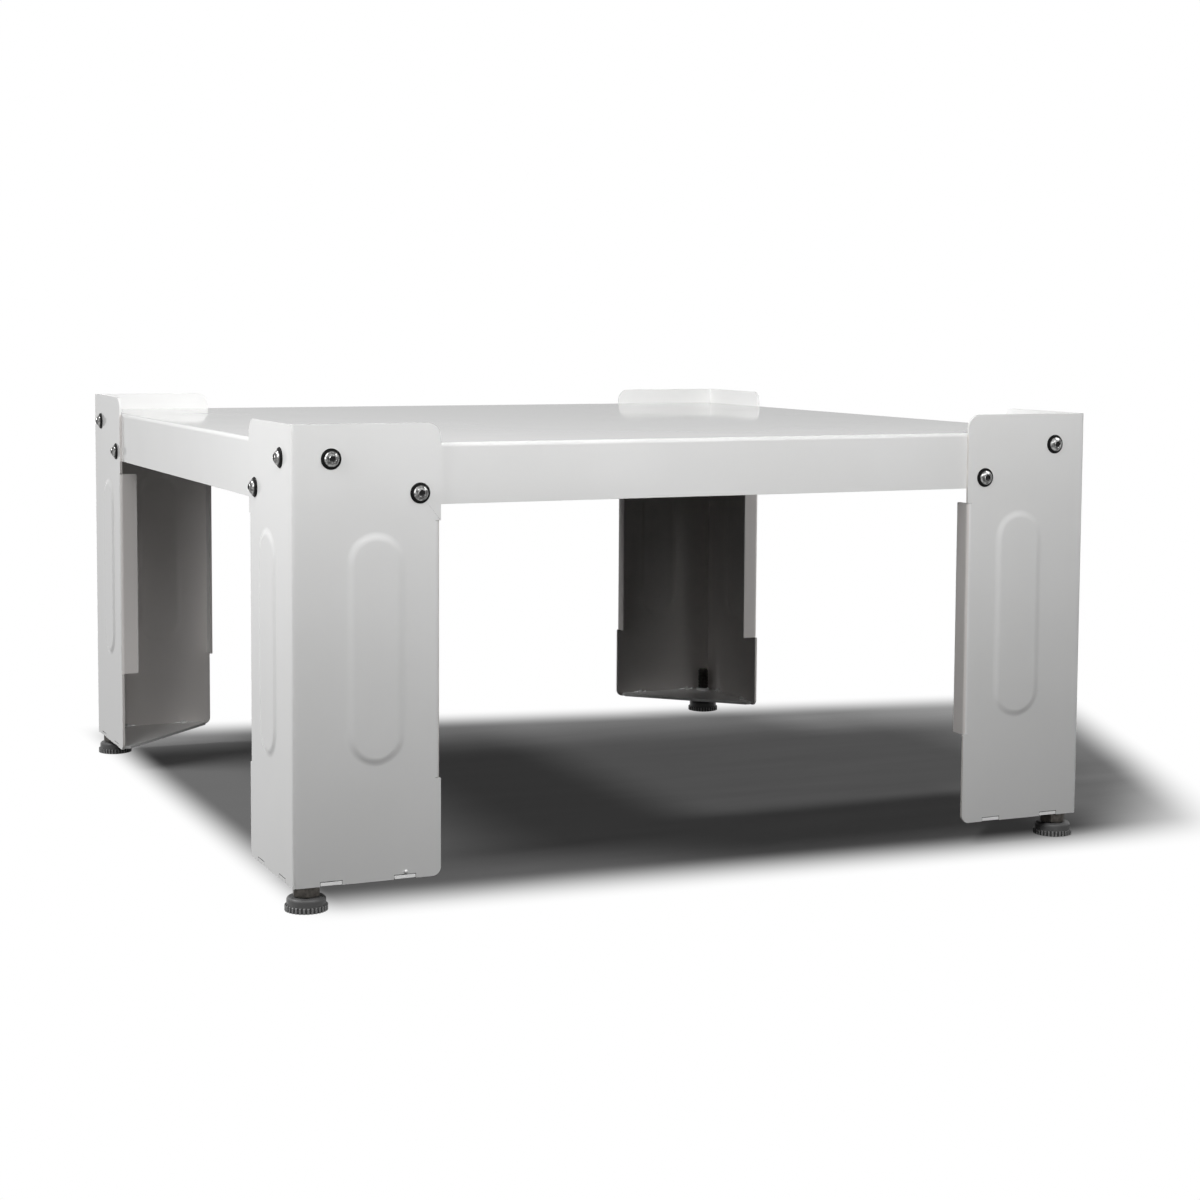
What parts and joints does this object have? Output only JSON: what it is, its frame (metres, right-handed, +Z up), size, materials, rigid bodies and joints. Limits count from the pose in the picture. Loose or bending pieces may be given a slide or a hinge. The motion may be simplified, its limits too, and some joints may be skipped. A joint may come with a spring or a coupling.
{
  "type": "laundry pedestal",
  "caption": "Square folded sheet-steel stand for a washing machine: flanged deck with corner guards, folded angle legs with pressed panels, and levelling screw feet.",
  "frame": {"origin": "on the floor under the middle of the deck", "axes": "+X to the right, +Y to the back, +Z up; the front is the -Y side"},
  "size_m": [0.6284, 0.6284, 0.3235],
  "materials": {
    "white_coat": "semi-gloss powder coat, nearly smooth",
    "polished_steel": "bright, smooth",
    "black_washer": "matte black",
    "zinc_steel": "dull zinc plating, slightly yellow",
    "dark_plastic": "moulded, slightly grainy",
    "rubber_sole": "matte"
  },
  "bodies": {
    "stand": {"top_deck": "white_coat", "deck_channel_front": "white_coat", "deck_channel_rear": "white_coat", "leg_front_left": "white_coat", "leg_front_right": "white_coat", "leg_rear_right": "white_coat", "leg_rear_left": "white_coat", "foot_plate_front_left": "white_coat", "foot_plate_front_right": "white_coat", "foot_plate_rear_right": "white_coat", "foot_plate_rear_left": "white_coat", "face_screws_front_left": "polished_steel", "face_screws_front_right": "polished_steel", "face_screws_rear_right": "polished_steel", "face_screws_rear_left": "polished_steel", "screw_washers_front_left": "black_washer", "screw_washers_front_right": "black_washer", "screw_washers_rear_right": "black_washer", "screw_washers_rear_left": "black_washer", "rail_nuts_front_left": "zinc_steel", "rail_nuts_front_right": "zinc_steel", "rail_nuts_rear_right": "zinc_steel", "rail_nuts_rear_left": "zinc_steel", "lock_nut_front_left": "zinc_steel", "lock_nut_front_right": "zinc_steel", "lock_nut_rear_right": "zinc_steel", "lock_nut_rear_left": "zinc_steel"},
    "sole_front_left": {"foot_sole_front_left": "rubber_sole"},
    "foot_front_left": {"foot_base_front_left": "dark_plastic", "foot_stud_front_left": "zinc_steel"},
    "sole_front_right": {"foot_sole_front_right": "rubber_sole"},
    "foot_front_right": {"foot_base_front_right": "dark_plastic", "foot_stud_front_right": "zinc_steel"},
    "sole_rear_right": {"foot_sole_rear_right": "rubber_sole"},
    "foot_rear_right": {"foot_base_rear_right": "dark_plastic", "foot_stud_rear_right": "zinc_steel"},
    "sole_rear_left": {"foot_sole_rear_left": "rubber_sole"},
    "foot_rear_left": {"foot_base_rear_left": "dark_plastic", "foot_stud_rear_left": "zinc_steel"}
  },
  "joints": [
    {"name": "foot_height_front_left", "type": "slide", "parent": "stand", "child": "sole_front_left", "axis": [0, 0, -1], "range_m": [0, 0.015]},
    {"name": "foot_turn_front_left", "type": "hinge", "parent": "sole_front_left", "child": "foot_front_left", "pos_m": [-0.2975, -0.2975, 0.005], "axis": [0, 0, -1], "range_deg": [0, 3600]},
    {"name": "foot_height_front_right", "type": "slide", "parent": "stand", "child": "sole_front_right", "axis": [0, 0, -1], "range_m": [0, 0.015]},
    {"name": "foot_turn_front_right", "type": "hinge", "parent": "sole_front_right", "child": "foot_front_right", "pos_m": [0.2975, -0.2975, 0.005], "axis": [0, 0, -1], "range_deg": [0, 3600]},
    {"name": "foot_height_rear_right", "type": "slide", "parent": "stand", "child": "sole_rear_right", "axis": [0, 0, -1], "range_m": [0, 0.015]},
    {"name": "foot_turn_rear_right", "type": "hinge", "parent": "sole_rear_right", "child": "foot_rear_right", "pos_m": [0.2975, 0.2975, 0.005], "axis": [0, 0, -1], "range_deg": [0, 3600]},
    {"name": "foot_height_rear_left", "type": "slide", "parent": "stand", "child": "sole_rear_left", "axis": [0, 0, -1], "range_m": [0, 0.015]},
    {"name": "foot_turn_rear_left", "type": "hinge", "parent": "sole_rear_left", "child": "foot_rear_left", "pos_m": [-0.2975, 0.2975, 0.005], "axis": [0, 0, -1], "range_deg": [0, 3600]}
  ],
  "couplings": [
    {"joint": "foot_turn_front_left", "follows": "foot_height_front_left", "rad_per_m": 4188.8},
    {"joint": "foot_turn_front_right", "follows": "foot_height_front_right", "rad_per_m": 4188.8},
    {"joint": "foot_turn_rear_right", "follows": "foot_height_rear_right", "rad_per_m": 4188.8},
    {"joint": "foot_turn_rear_left", "follows": "foot_height_rear_left", "rad_per_m": 4188.8}
  ]
}
